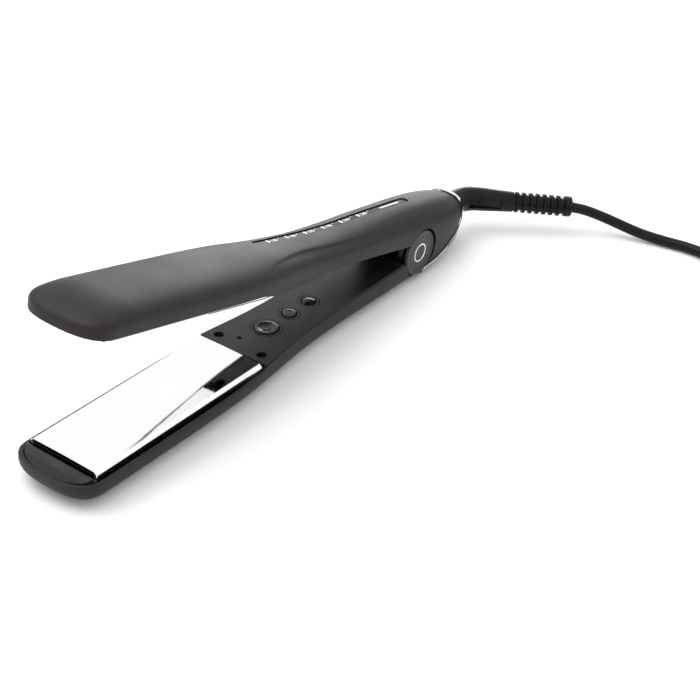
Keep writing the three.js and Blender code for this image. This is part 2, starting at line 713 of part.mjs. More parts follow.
const plugOutline = new THREE.Shape(
  [[-4.4, 0], [4.4, 0], [6, 14], [13, 22], [13, 35], [-13, 35], [-13, 22], [-6, 14]].map(
    ([x, y]) => new THREE.Vector2(x, y),
  ),
);
const plugBody = new THREE.ExtrudeGeometry(plugOutline, { depth: 10.4, bevelThickness: 1.5, bevelSize: 1, bevelSegments: 1, bevelOffset: -1 });
add("plug_body", plugBody.translate(PLUG_X, PLUG_Y, PLUG_Z - 5.2), RUBBER);
for (const [name, side] of [["left", -1], ["right", 1]]) {
  const pin = rodY(2, PLUG_Y + 36.8, PLUG_Y + 55, PLUG_X + side * 8.8, PLUG_Z, 16);
  add("plug_pin_" + name, pin, BRASS);
}

export default group;
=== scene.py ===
"""A flat iron on a pale table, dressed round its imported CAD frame.

The driving frame of the drawing is in millimetres: X runs from the tip end of the plates to the
rear, Y from the middle plane, and Z from the face where the plates meet. The upper arm is drawn
closed and then swung open about the hinge.
"""
import json
import math

import bmesh
import bpy
from mathutils import Matrix, Vector


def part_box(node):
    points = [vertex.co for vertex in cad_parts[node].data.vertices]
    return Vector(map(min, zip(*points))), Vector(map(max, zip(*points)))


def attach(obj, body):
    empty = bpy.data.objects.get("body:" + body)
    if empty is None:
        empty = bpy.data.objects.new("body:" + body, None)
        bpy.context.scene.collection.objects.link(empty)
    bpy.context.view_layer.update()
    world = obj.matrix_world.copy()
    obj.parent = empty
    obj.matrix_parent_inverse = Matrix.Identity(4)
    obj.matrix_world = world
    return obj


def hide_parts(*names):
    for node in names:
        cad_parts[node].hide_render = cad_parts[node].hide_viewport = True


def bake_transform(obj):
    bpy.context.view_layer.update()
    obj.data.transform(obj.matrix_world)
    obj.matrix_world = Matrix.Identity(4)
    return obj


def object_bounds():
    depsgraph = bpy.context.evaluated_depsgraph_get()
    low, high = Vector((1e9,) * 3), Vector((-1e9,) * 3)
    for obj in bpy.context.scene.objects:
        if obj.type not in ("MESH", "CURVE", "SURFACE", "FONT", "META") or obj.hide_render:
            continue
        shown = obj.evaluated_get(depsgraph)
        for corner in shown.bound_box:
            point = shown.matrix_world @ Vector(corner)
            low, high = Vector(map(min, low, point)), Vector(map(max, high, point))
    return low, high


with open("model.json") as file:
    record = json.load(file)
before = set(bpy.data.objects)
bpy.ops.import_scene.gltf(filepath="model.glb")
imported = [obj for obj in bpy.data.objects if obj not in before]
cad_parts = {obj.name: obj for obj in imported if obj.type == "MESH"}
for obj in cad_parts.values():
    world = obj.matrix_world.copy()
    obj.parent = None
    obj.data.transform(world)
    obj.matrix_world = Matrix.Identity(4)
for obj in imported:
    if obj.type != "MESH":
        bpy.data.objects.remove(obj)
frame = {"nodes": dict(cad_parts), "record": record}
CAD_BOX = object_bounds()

# ---------- driving dimensions, in millimetres ----------

MM = 0.001
PLATE_LENGTH = 110.0
PLATE_WIDTH = 38.6
TIP_X = -12.4
TAIL_X = 300.0
NOSE_LENGTH = 14.0
LOWER_NOSE_DEPTH_LENGTH = 22.0
UPPER_NOSE_DEPTH_LENGTH = 26.0
TAIL_LENGTH = 42.0
GROUND = -16.4
WALL = 1.8
HINGE = Vector((247.4, 0.0, 0.0))
OPEN_ANGLE = math.radians(13.9)
CAP_RADIUS = 12.6
CAP_Y = 15.0
RECESS_RADIUS = CAP_RADIUS + 0.6
SWIVEL_Z = 2.6
HOOD_END = 295.0
COLLAR_END = 298.6
COLLAR_RADIUS = 9.0
ELBOW_X = 311.0
BOOT_RADIUS = 6.6
BOOT_LENGTH = 61.0
BOOT_TURN = math.radians(-50.5)
BOOT_DROP = math.radians(3.0)
CORD_RADIUS = 2.9

PLATE_LOW, PLATE_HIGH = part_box("lower_plate")
ORIGIN = Vector((PLATE_LOW.x, 0.0, PLATE_HIGH.z))
TO_ROW = Matrix.Translation(ORIGIN) @ Matrix.Scale(MM, 4)
SWING = Matrix.Translation(HINGE) @ Matrix.Rotation(OPEN_ANGLE, 4, "Y") @ Matrix.Translation(-HINGE)


def row(x, y, z):
    """A point of the driving frame in the row frame, in metres."""
    return TO_ROW @ Vector((x, y, z))


# ---------- camera ----------

CAMERA_AZIMUTH = math.radians(-56.603)
CAMERA_ELEVATION = math.radians(32.958)
CAMERA_ROLL = math.radians(4.975)
CAMERA_DISTANCE = 695.4
CAMERA_RIGHT = 120.7
CAMERA_UP = 43.95
CAMERA_LENS = 85.0
CAMERA_SENSOR = 36.0


def add_camera():
    a, e, r = CAMERA_AZIMUTH, CAMERA_ELEVATION, CAMERA_ROLL
    back = Vector((math.sin(a) * math.cos(e), -math.cos(a) * math.cos(e), math.sin(e)))
    level = Vector((math.cos(a), math.sin(a), 0.0))
    upright = back.cross(level)
    right = level * math.cos(r) + upright * math.sin(r)
    up = upright * math.cos(r) - level * math.sin(r)
    place = back * CAMERA_DISTANCE + right * CAMERA_RIGHT + up * CAMERA_UP
    data = bpy.data.cameras.new("camera")
    data.lens, data.sensor_width = CAMERA_LENS, CAMERA_SENSOR
    data.clip_start, data.clip_end = 0.05, 50.0
    camera = bpy.data.objects.new("camera", data)
    turn = Matrix((right, up, back)).transposed().to_4x4()
    camera.matrix_world = Matrix.Translation(row(*place)) @ turn
    bpy.context.scene.collection.objects.link(camera)
    bpy.context.scene.camera = camera


add_camera()

# ---------- materials ----------


GRAIN_DEPTH = 0.0002


def surface(name, tone, roughness, metallic=0.0, grain=1500.0, bump=0.05, mottle=0.12, patch=60.0,
            stretch=(1.0, 1.0, 1.0), uneven=0.08, specular=0.5):
    """A moulded or worked surface.

    Its tone and roughness wander over patches, and a fine grain stands in relief.
    """
    material = bpy.data.materials.new(name)
    material.use_nodes = True
    nodes, links = material.node_tree.nodes, material.node_tree.links
    shader = nodes["Principled BSDF"]
    shader.inputs["Metallic"].default_value = metallic
    shader.inputs["Specular IOR Level"].default_value = specular
    place = nodes.new("ShaderNodeTexCoord")
    scale = nodes.new("ShaderNodeMapping")
    scale.inputs["Scale"].default_value = stretch
    links.new(place.outputs["Object"], scale.inputs["Vector"])

    def noise(size, detail):
        texture = nodes.new("ShaderNodeTexNoise")
        texture.inputs["Scale"].default_value = size
        texture.inputs["Detail"].default_value = detail
        links.new(scale.outputs["Vector"], texture.inputs["Vector"])
        return texture.outputs["Fac"]

    def ramp(factor, low, high):
        spread = nodes.new("ShaderNodeMapRange")
        spread.inputs["From Min"].default_value = 0.3
        spread.inputs["From Max"].default_value = 0.7
        spread.inputs["To Min"].default_value = low
        spread.inputs["To Max"].default_value = high
        links.new(factor, spread.inputs["Value"])
        return spread.outputs["Result"]

    patches, fine = noise(patch, 3.0), noise(grain, 2.0)
    colour = nodes.new("ShaderNodeMix")
    colour.data_type = "RGBA"
    colour.inputs["A"].default_value = (*[c * (1 - mottle) for c in tone], 1)
    colour.inputs["B"].default_value = (*[min(c * (1 + mottle), 1) for c in tone], 1)
    links.new(ramp(patches, 0.0, 1.0), colour.inputs["Factor"])
    links.new(colour.outputs["Result"], shader.inputs["Base Color"])
    mixed = nodes.new("ShaderNodeMath")
    mixed.operation = "ADD"
    links.new(ramp(patches, roughness - uneven, roughness + uneven), mixed.inputs[0])
    links.new(ramp(fine, -uneven / 2, uneven / 2), mixed.inputs[1])
    links.new(mixed.outputs["Value"], shader.inputs["Roughness"])
    relief = nodes.new("ShaderNodeBump")
    relief.inputs["Strength"].default_value = bump
    relief.inputs["Distance"].default_value = GRAIN_DEPTH
    links.new(fine, relief.inputs["Height"])
    links.new(relief.outputs["Normal"], shader.inputs["Normal"])
    return material


SOFT_SHELL = surface("soft_touch_shell", (0.0165, 0.0136, 0.012), 0.5, grain=3200, bump=0.1,
                     mottle=0.08, patch=45, uneven=0.04, specular=0.25)
BLACK_PLASTIC = surface("satin_black", (0.009, 0.009, 0.009), 0.38, grain=2600, bump=0.06,
                        patch=70, specular=0.24)
GLOSS_BLACK = surface("gloss_black", (0.01, 0.01, 0.011), 0.24, grain=900, bump=0.02,
                      patch=50, uneven=0.04, specular=0.3)
BUTTON_PLASTIC = surface("button_plastic", (0.02, 0.02, 0.021), 0.28, grain=2600, bump=0.05,
                         patch=70, specular=0.4)
CAP_PLASTIC = surface("cap_plastic", (0.022, 0.0215, 0.0215), 0.42, grain=1500, bump=0.25,
                      patch=200, specular=0.4)
TITANIUM = surface("polished_plate", (0.86, 0.865, 0.87), 0.06, 1.0, grain=700, bump=0.012,
                   mottle=0.03, patch=25, stretch=(0.08, 1.0, 1.0), uneven=0.03)
STEEL = surface("steel", (0.42, 0.42, 0.43), 0.36, 1.0, grain=1800, bump=0.08,
                mottle=0.1, stretch=(0.2, 1.0, 1.0))
CHROME = surface("chrome", (0.86, 0.86, 0.87), 0.07, 1.0, grain=800, bump=0.015,
                 mottle=0.03, uneven=0.03)
BRASS = surface("brass", (0.62, 0.45, 0.16), 0.28, 1.0, grain=1500, bump=0.05, mottle=0.1)
CERAMIC = surface("ceramic", (0.72, 0.68, 0.58), 0.55, grain=1800, bump=0.15)
CIRCUIT = surface("circuit", (0.02, 0.12, 0.05), 0.35, grain=900, bump=0.15, mottle=0.3, patch=400)
SILICONE = surface("silicone", (0.36, 0.07, 0.04), 0.5, grain=1200, bump=0.1)
WINDOW = surface("dark_window", (0.006, 0.006, 0.007), 0.3, grain=600, bump=0.01,
                 patch=40, uneven=0.03, specular=0.03)
# Painted shade: a dark steel for the cover screws and the hinge brackets, which sit in screw holes and in the
# gap between the arms, where shade falls.
SHADE_PAINTED_STEEL = surface("steel_painted_shade", (0.05, 0.05, 0.052), 0.42, 0.8, grain=1800, bump=0.1,
                     mottle=0.15)
LAMP = surface("lamp", (0.82, 0.82, 0.8), 0.3, grain=900, bump=0.03, mottle=0.04)
RUBBER = surface("rubber", (0.005, 0.005, 0.0054), 0.3, grain=2200, bump=0.1,
                 mottle=0.15, patch=90, uneven=0.06, specular=0.17)
WIRE = surface("wire", (0.28, 0.02, 0.02), 0.45, grain=1500, bump=0.08)
PRINT = surface("white_print", (0.82, 0.82, 0.81), 0.5, grain=2500, bump=0.05,
                mottle=0.05, patch=500)
SLOT_LOOKS = {
    "soft_shell": SOFT_SHELL, "black_plastic": BLACK_PLASTIC, "titanium": TITANIUM, "ceramic": CERAMIC,
    "steel": STEEL, "chrome": CHROME, "brass": BRASS, "circuit": CIRCUIT, "silicone": SILICONE,
    "window": WINDOW, "lamp": LAMP, "rubber": RUBBER, "wire": WIRE,
}

# ---------- meshes ----------

WELD = 1e-4
BEVELLED_ANGLE = 30.0
# Faces larger than this many square millimetres are shaded flat.
FLAT_AREA = 25.0


def profile(pairs):
    """A smooth line through (x, value) pairs."""

    def slope(i):
        (x0, v0), (x1, v1) = pairs[max(i - 1, 0)], pairs[min(i + 1, len(pairs) - 1)]
        return (v1 - v0) / (x1 - x0)

    def value(x):
        i = next((k for k in range(len(pairs) - 1) if x < pairs[k + 1][0]), len(pairs) - 2)
        (x0, v0), (x1, v1) = pairs[i], pairs[i + 1]
        span = x1 - x0
        t = min(max((x - x0) / span, 0.0), 1.0)
        leaving = t * (1 - t) ** 2 * span * slope(i)
        arriving = t * t * (t - 1) * span * slope(i + 1)
        return v0 + (v1 - v0) * t * t * (3 - 2 * t) + leaving + arriving

    return value


def ease(t):
    t = min(max(t, 0.0), 1.0)
    return t * t * (3 - 2 * t)


def rounding(reach, length, power):
    """Grows from 0 at the very end to 1 at length from it."""
    left = min(max(1 - reach / length, 0.0), 1.0)
    return (1 - left ** power) ** (1 / power)


def skin(rings, closed=True, caps=False):
    """Joins rings of equal point counts into a surface, and closes what meets in a point or a line."""
    bm = bmesh.new()
    grid = [[bm.verts.new(point) for point in ring] for ring in rings]
    count = len(grid[0])
    for low, high in zip(grid, grid[1:]):
        for j in range(count if closed else count - 1):
            k = (j + 1) % count
            bm.faces.new((low[j], low[k], high[k], high[j]))
    if caps:
        bm.faces.new(grid[0])
        bm.faces.new(grid[-1])
    bmesh.ops.remove_doubles(bm, verts=bm.verts, dist=WELD)
    bmesh.ops.dissolve_degenerate(bm, edges=bm.edges, dist=WELD)
    bmesh.ops.recalc_face_normals(bm, faces=bm.faces)
    return bm


def frame_of(axis):
    """Two directions at right angles to axis."""
    axis = Vector(axis).normalized()
    side = axis.cross((0, 0, 1)) if abs(axis.z) < 0.9 else axis.cross((0, 1, 0))
    side.normalize()
    return side, axis.cross(side).normalized()


def turned(outline, base, axis, sides=48):
    """A body turned about axis from (radius, height) pairs over base."""
    base, axis = Vector(base), Vector(axis).normalized()
    side, other = frame_of(axis)
    rings = []
    for radius, height in outline:
        ring = []
        for k in range(sides):
            turn = 2 * math.pi * k / sides
            ring.append(base + axis * height + (side * math.cos(turn) + other * math.sin(turn)) * radius)
        rings.append(ring)
    closed = outline[0] == outline[-1]
    return skin(rings, caps=not closed and outline[0][0] > 0)


def tube(points, radii, sides=16):
    """A round bar of varying radius along points, with flat ends."""
    points = [Vector(point) for point in points]
    rings, side = [], None
    for i, point in enumerate(points):
        along = (points[min(i + 1, len(points) - 1)] - points[max(i - 1, 0)]).normalized()
        side = frame_of(along)[0] if side is None else (side - along * side.dot(along)).normalized()
        other = along.cross(side)
        ring = []
        for k in range(sides):
            turn = 2 * math.pi * k / sides
            ring.append(point + (side * math.cos(turn) + other * math.sin(turn)) * radii[i])
        rings.append(ring)
    return skin(rings, caps=True)


def prism(outline, low, high, bevel=0.0, along="Z"):
    """A plate with an outline in the XY plane (or XZ for along Y, YZ for along X), its edges rounded."""
    spread = {
        "Z": lambda a, b, h: (a, b, h),
        "Y": lambda a, b, h: (a, h, b),
        "X": lambda a, b, h: (h, a, b),
    }[along]
    rings = [[Vector(spread(a, b, height)) for a, b in outline] for height in (low, high)]
    bm = skin(rings, caps=True)
    if bevel:
        edges = [e for e in bm.edges if e.calc_face_angle(0) > math.radians(BEVELLED_ANGLE)]
        bmesh.ops.bevel(bm, geom=edges, offset=bevel, segments=3, profile=0.5, affect="EDGES")
    return bm


def block(x0, x1, y0, y1, z0, z1, bevel=0.0):
    return prism([(x0, y0), (x1, y0), (x1, y1), (x0, y1)], z0, z1, bevel)


def loose(bm):
    """A work object that holds bm."""
    mesh = bpy.data.meshes.new("work")
    bm.to_mesh(mesh)
    bm.free()
    work = bpy.data.objects.new("work", mesh)
    bpy.context.scene.collection.objects.link(work)
    return work


def worked(base, tools, operation):
    """Joins, cuts or intersects base with each of the tools in turn."""
    base, tools = loose(base), [loose(tool) for tool in tools]
    for tool in tools:
        step = base.modifiers.new("step", "BOOLEAN")
        step.operation, step.solver, step.object = operation, "MANIFOLD", tool
    seen = base.evaluated_get(bpy.context.evaluated_depsgraph_get())
    result = bmesh.new()
    result.from_mesh(seen.to_mesh())
    seen.to_mesh_clear()
    for work in [base, *tools]:
        mesh = work.data
        bpy.data.objects.remove(work)
        bpy.data.meshes.remove(mesh)
    bmesh.ops.dissolve_degenerate(result, edges=result.edges, dist=WELD)
    return result


def cut(base, *tools):
    return worked(base, tools, "DIFFERENCE")


def common(base, *tools):
    return worked(base, tools, "INTERSECT")


def merged(*parts):
    """One mesh that holds all the parts side by side."""
    result = bmesh.new()
    for part in parts:
        mesh = bpy.data.meshes.new("part")
        part.to_mesh(mesh)
        part.free()
        result.from_mesh(mesh)
        bpy.data.meshes.remove(mesh)
    return result


def moved(bm, matrix):
    bm.transform(matrix)
    return bm


def swung(bm):
    """Turns what is drawn in the closed upper arm to where the open arm holds it."""
    return moved(bm, SWING)


def show(name, bm, body, look, stands_for=(), sharp=32.0, flat_area=FLAT_AREA):
    """Makes bm a piece of the object: smooth but for its sharp edges, on a body, in a slot's finish."""
    for face in bm.faces:
        face.smooth = face.calc_area() < flat_area
    for edge in bm.edges:
        edge.smooth = edge.is_manifold and edge.calc_face_angle(0) < math.radians(sharp)
    bm.transform(TO_ROW)
    mesh = bpy.data.meshes.new(name)
    bm.to_mesh(mesh)
    bm.free()
    mesh.materials.append(look)
    piece = bpy.data.objects.new(name, mesh)
    bpy.context.scene.collection.objects.link(piece)
    if body:
        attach(piece, body)
    if stands_for:
        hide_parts(*stands_for)
    return piece


# ---------- mains lead ----------

LEAD_Z = GROUND + CORD_RADIUS + 0.1
COIL = Vector((402.0, -174.0, GROUND + 1.4))
COIL_MID_RADIUS = 32.0
TURN_PITCH = 5.8
COLUMNS = 3
LAYERS = 4
COIL_INNER, COIL_OUTER, COIL_HEIGHT = 22.8, 41.2, 23.4
PLUG = Vector((COIL.x + COIL_OUTER + 6.8, COIL.y + 26.0, GROUND + 7.2))
LEAD_ROUTE = [
    (350.1, -47.4, -0.9),
    (355.0, -53.6, -2.4),
    (361.0, -62.4, -5.8),
    (366.0, -72.4, -9.4),
    (370.0, -83.0, -12.2),
    (373.5, -95.0, LEAD_Z),
    (376.0, -108.0, LEAD_Z),
    (376.0, -121.0, LEAD_Z),
    (372.0, -134.0, LEAD_Z),
    (365.5, -145.0, LEAD_Z),
    (360.0, -156.0, LEAD_Z),
    (357.3, -166.0, LEAD_Z),
    (356.9, -171.0, LEAD_Z),
]
LEAD_SIDES = 14
LEAD_STEP = 3.2
TURN_POINTS = 36
# The last turn stops this share of a turn short.
LAST_TURN_SHORT = 0.42
# Each turn steps over to the next place in the last part of its round.
STEP_SHARE = 0.28
# The lead comes in from the ground outside the coil during the first part of the first turn.
LEAD_IN_SHARE = 0.3
LEAD_IN_RADIUS = 45.1
LEAD_IN_DROP = 1.4
WAY_OUT_STEPS = 15
WAY_OUT_REACH = 7.4


def coil_route():
    """The turns, wound in layers: each layer runs across the columns, out of step with the one below."""
    columns = [COIL_MID_RADIUS + TURN_PITCH * (1 - k) for k in range(COLUMNS)]
    stops = []
    for layer in range(LAYERS):
        order = columns if layer % 2 == 0 else columns[::-1]
        stops += [(radius, CORD_RADIUS + 0.1 + TURN_PITCH * layer) for radius in order]
    points = []
    turns = COLUMNS * LAYERS
    for k in range(int((turns - LAST_TURN_SHORT) * TURN_POINTS)):
        share = k / TURN_POINTS
        at = min(int(share), turns - 1)
        step = ease((share - at - (1 - STEP_SHARE)) / STEP_SHARE)
        (r0, z0), (r1, z1) = stops[at], stops[min(at + 1, turns - 1)]
        radius, height = r0 + (r1 - r0) * step, z0 + (z1 - z0) * step
        settle = ease(share / LEAD_IN_SHARE)
        radius += (1 - settle) * (LEAD_IN_RADIUS - r0)
        height -= (1 - settle) * LEAD_IN_DROP
        turn = math.pi * (1 + 2 * share)
        points.append(COIL + Vector((radius * math.cos(turn), radius * math.sin(turn), height)))
    return points


def way_out():
    """From the top of the bundle outward, down along its side and to the plug."""
    points = []
    first = math.radians(180.0 - LAST_TURN_SHORT * 360.0)
    for k in range(1, WAY_OUT_STEPS):
        share = k / WAY_OUT_STEPS
        turn = first + share * (2 * math.pi - first)
        out, down = ease(share / 0.35), ease((share - 0.3) / 0.7)
        radius = COIL_MID_RADIUS + TURN_PITCH + out * WAY_OUT_REACH
        height = CORD_RADIUS + 0.1 + TURN_PITCH * (LAYERS - 1) * (1 - down)
        points.append(COIL + Vector((radius * math.cos(turn), radius * math.sin(turn), height)))
    points.append(Vector((PLUG.x - 3.0, COIL.y - 2.0, LEAD_Z + 0.6)))
    points.append(Vector((PLUG.x - 0.6, COIL.y + 10.0, PLUG.z - 1.6)))
    points.append(Vector((PLUG.x, PLUG.y - 0.6, PLUG.z)))
    return points


def smooth_route(points, step):
    """Points about step apart on one smooth curve through points."""
    points = [Vector(p) for p in points]
    padded = [points[0] * 2 - points[1], *points, points[-1] * 2 - points[-2]]
    result = []
    for a, b, c, d in zip(padded, padded[1:], padded[2:], padded[3:]):
        pieces = max(1, round((c - b).length / step))
        for k in range(pieces):
            t = k / pieces
            bend = (2 * a - 5 * b + 4 * c - d) * t * t + (3 * b - a - 3 * c + d) * t ** 3
            result.append(0.5 * ((2 * b) + (c - a) * t + bend))
    return [*result, points[-1]]


cord_line = smooth_route([*LEAD_ROUTE[:-1], *coil_route(), *way_out()], LEAD_STEP)
lead = tube(cord_line, [CORD_RADIUS] * len(cord_line), LEAD_SIDES)
cord = show("mains_lead", lead, None, RUBBER, ["cord_tube", "cord_coil", "cord_tail"])
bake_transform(cord)

# ---------- the form of the arms ----------

body_half_width = profile([
    (-16, 22.4), (75, 22.4), (98, 21.7), (118, 19.8), (137, 17.6), (156, 16.3), (178, 15.8), (205, 15.7),
    (230, 15.5), (262, 15.6), (300, 15.6),
])
lower_depth = profile([
    (-16, 16.4), (120, 16.4), (150, 15.6), (175, 15.2), (200, 15.6), (225, 16.2), (248, 16.4),
    (266, 15.8), (285, 12), (301, 5),
])
upper_height = profile([
    (-16, 15.6), (60, 15.8), (120, 16), (160, 16.6), (184, 18), (205, 20.2), (228, 22.4), (252, 24.2),
    (275, 24.4), (301, 22),
])
lower_rim = profile([(-16, -3.8), (106, -3.8), (116, -2.2), (301, -2.2)])
upper_rim = profile([
    (-16, 3.6), (100, 3.6), (113, 1.6), (142, 1.4), (158, 3.6), (180, 4.8), (230, 5.4), (301, 5.4),
])
PARTING = [(252.4, -12.2), (262.0, -10.7), (273.0, -8.2), (284.0, -4.0), (291.0, 0.5), (298.0, 3.0)]
SQUARENESS = 2.9
LOWER_BASE, UPPER_BASE = -5.0, 7.0
SKIRT_Z = -13.0
ARC_STEPS = 72

# The scoop for the thumb: a hollow in the upper arm's shoulder below a crease line.
crease_y = profile([
    (104, 19.0), (113, 14.5), (127, 11.3), (141, 9.5), (158, 10.0), (174, 10.9), (206, 11.7), (250, 12.6),
])
scoop_depth = profile([(106, 0.0), (116, 0.35), (136, 0.85), (165, 0.8), (195, 0.45), (226, 0.0)])


def half_width(x, inset):
    nose = rounding(x - TIP_X - inset, NOSE_LENGTH, 2.6)
    tail = rounding(TAIL_X - inset - x, TAIL_LENGTH, 2.3)
    return (body_half_width(x) - inset) * nose * tail


def lower_rise(x, inset):
    return rounding(x - TIP_X - inset, LOWER_NOSE_DEPTH_LENGTH, 2.4)


def upper_rise(x, inset):
    return rounding(x - TIP_X - inset, UPPER_NOSE_DEPTH_LENGTH, 1.9)


def arc(x, width, height, base, side):
    """Half of a superellipse from one wall over the top (or under the belly) to the other wall."""
    points = []
    for k in range(ARC_STEPS + 1):
        turn = math.pi * k / ARC_STEPS
        across = math.copysign(abs(math.cos(turn)) ** (2 / SQUARENESS), math.cos(turn))
        up = math.sin(turn) ** (2 / SQUARENESS) if 0 < k < ARC_STEPS else 0.0
        points.append(Vector((x, side * width * across, base + side * height * up)))
    return points


def scooped(points, width):
    """Presses the hollow for the thumb into both shoulders of an upper arc."""
    result = []
    for point in points:
        edge = crease_y(point.x)
        depth = max(scoop_depth(point.x), 0.0)
        if abs(point.y) > edge and depth > 0:
            share = (abs(point.y) - edge) / max(width - edge, 0.5)
            press = depth * ease(share / 0.22) * (1 - ease((share - 0.35) / 0.65))
            lean = 0.25 + 0.75 * share
            point = point - Vector((0, math.copysign(press * lean, point.y), press * (1 - 0.6 * share)))
        result.append(point)
    return result


def wall_down(x, y, base, low):
    """Points of a wall from the base line to low: it leans in a little, and more beside the belly."""
    points = []
    for k in (1, 2, 3, 4):
        z = base + (low - base) * k / 4
        lean = 0.03 * min(abs(base - z) / 6, 1) + 0.08 * ease((-2.0 - z) / 11) * (base > 0)
        points.append(Vector((x, y * (1 - lean), z)))
    return points


def stretch_of(x, inset):
    """Moves a station of the outer form to the form that lies inset inside it."""
    share = (x - TIP_X) / (TAIL_X - TIP_X)
    return TIP_X + inset + share * (TAIL_X - TIP_X - 2 * inset)


def stations():
    """Sections lie close together where the ends are round."""
    nose = [TIP_X + NOSE_LENGTH * (1 - math.cos(math.pi / 2 * k / 16)) for k in range(16)]
    start, end = TIP_X + NOSE_LENGTH, TAIL_X - TAIL_LENGTH
    middle = [start + (end - start) * k / 110 for k in range(110)]
    tail = [TAIL_X - TAIL_LENGTH * (1 - math.sin(math.pi / 2 * k / 26)) for k in range(26)]
    return [*nose, *middle, *tail, TAIL_X]


STATIONS = stations()


def arch(upper, x, inset):
    """An arm's section at x, from one wall over its top, or under its belly, to the other."""
    width = half_width(x, inset)
    if upper:
        rise = upper_rise(x, inset)
        height = (upper_height(x) - UPPER_BASE) * rise - inset * min(rise * 2, 1)
        return scooped(arc(x, width, max(height, 0.0), UPPER_BASE, 1), width)
    rise = lower_rise(x, inset)
    depth = (lower_depth(x) + LOWER_BASE) * rise - inset * min(rise * 2, 1)
    return arc(x, width, max(depth, 0.0), LOWER_BASE, -1)


def form(upper, inset, reach):
    """The solid form of an arm, inset inside its skin, and reaching so far past its rim."""
    base = UPPER_BASE if upper else LOWER_BASE
    rings = []
    for x in STATIONS:
        at = stretch_of(x, inset)
        points = arch(upper, at, inset)
        if upper:
            low = SKIRT_Z - reach if at > HINGE.x else min(upper_rim(at) - reach, UPPER_BASE - 0.2)
        else:
            low = max(lower_rim(at) + reach, LOWER_BASE + 0.2)
        walls = [wall_down(at, points[end].y, base, low) for end in (0, -1)]
        rings.append([*walls[0][::-1], *points, *walls[1]])
    return skin(rings)


LIP_HEIGHT = 0.7
LIP_ROUND = 0.3


def shell(upper):
    """An arm's moulding: the skin, a rounded rim and the inner wall, in one closed surface."""
    base = UPPER_BASE if upper else LOWER_BASE
    rings = []
    for x in STATIONS:
        ring = []
        for inset in (0.0, WALL):
            at = stretch_of(x, inset)
            points = arch(upper, at, inset)
            if upper:
                low = SKIRT_Z if at > HINGE.x else min(upper_rim(at), UPPER_BASE - 0.2)
                lip = low + LIP_HEIGHT
            else:
                low = max(lower_rim(at), LOWER_BASE + 0.9)
                lip = low - LIP_HEIGHT
            walls = [wall_down(at, points[end].y, base, lip) for end in (0, -1)]
            turn_in = LIP_ROUND if inset == 0 else -LIP_ROUND
            for wall in walls:
                y = wall[-1].y
                rim = math.copysign(max(abs(y) - turn_in * min(abs(y), 1), 0.0), y)
                wall.append(Vector((at, rim, low)))
            drawn = [*walls[0][::-1], *points, *walls[1]]
            ring += drawn if inset == 0 else drawn[::-1]
        rings.append(ring)
    return skin(rings)


def parting_region(offset, to_z):
    """What lies above (or below) the line where the hood of the upper arm meets the lower tail."""
    line = [(x, z + offset) for x, z in PARTING]
    outline = [*line, (320.0, 3.0 + offset), (320.0, to_z), (PARTING[0][0], to_z)]
    return prism(outline, -30.0, 30.0, along="Y")


def recess(spare=0.0):
    """The round space across both arms that the hinge caps turn in."""
    radius = RECESS_RADIUS + spare
    return turned([(radius, -30.0), (radius, 30.0)], HINGE, (0, 1, 0), 96)


def plate_window():
    """The space that a plate needs in its arm."""
    half = PLATE_WIDTH / 2 + 0.4
    return block(-0.4, PLATE_LENGTH + 0.4, -half, half, -9, 9)


# ---------- arms ----------

SWIVEL_AXIS = Vector((0, 0, SWIVEL_Z))
lower_skin = cut(
    shell(False),
    recess(),
    parting_region(-0.5, 40.0),
    plate_window(),
    turned([(COLLAR_RADIUS + 0.4, 288.0), (COLLAR_RADIUS + 0.4, 310.0)], SWIVEL_AXIS, (1, 0, 0)),
)
show("lower_arm_skin", lower_skin, "lower_arm", SOFT_SHELL, ["lower_shell"])

SLOT_FROM = Vector((124.6, 6.1))
SLOT_TO = Vector((248.6, 1.6))
SLOT_HALF = 2.5
slot_run = SLOT_TO - SLOT_FROM
SLOT_ANGLE = math.atan2(slot_run.y, slot_run.x)


def along_slot(x, y, z):
    """A point at x along the display and y across it."""
    c, s = math.cos(SLOT_ANGLE), math.sin(SLOT_ANGLE)
    return Vector((SLOT_FROM.x + x * c - y * s, SLOT_FROM.y + x * s + y * c, z))


def slot_outline(spare):
    half, points = SLOT_HALF - spare, []
    for centre, start in ((slot_run.length - SLOT_HALF, -90.0), (SLOT_HALF, 90.0)):
        for k in range(13):
            turn = math.radians(start + 180.0 * k / 12)
            point = along_slot(centre + half * math.cos(turn), half * math.sin(turn), 0)
            points.append((point.x, point.y))
    return points


upper_skin = cut(
    swung(shell(True)),
    recess(0.35),
    parting_region(0.0, -40.0),
    swung(block(200, HINGE.x + 4.6, -30, 30, -40, -6)),
    swung(plate_window()),
    block(HOOD_END, 320, -30, 30, -60, 60),
    block(280, 320, -7.3, 7.3, -60, SWIVEL_Z),
    turned([(7.3, 280.0), (7.3, 320.0)], SWIVEL_AXIS, (1, 0, 0)),
    swung(prism(slot_outline(0.0), 10, 40)),
)
show("upper_arm_skin", upper_skin, "upper_arm", SOFT_SHELL, ["upper_shell"])

# ---------- display ----------


def top_of(x, y, inset):
    """Height of the upper arm's top over (x, y), inset under its skin."""
    width = half_width(x, inset)
    height = (upper_height(x) - UPPER_BASE) * upper_rise(x, inset) - inset
    across = min(abs(y) / width, 0.999)
    return UPPER_BASE + height * (1 - across ** SQUARENESS) ** (1 / SQUARENESS)


LENS_DEPTH = 0.55
lens = common(cut(form(True, LENS_DEPTH, 0), form(True, 2.2, 30)), prism(slot_outline(0.3), 10, 40))
show("display_window", swung(lens), "upper_arm", WINDOW, ["display_lens"])


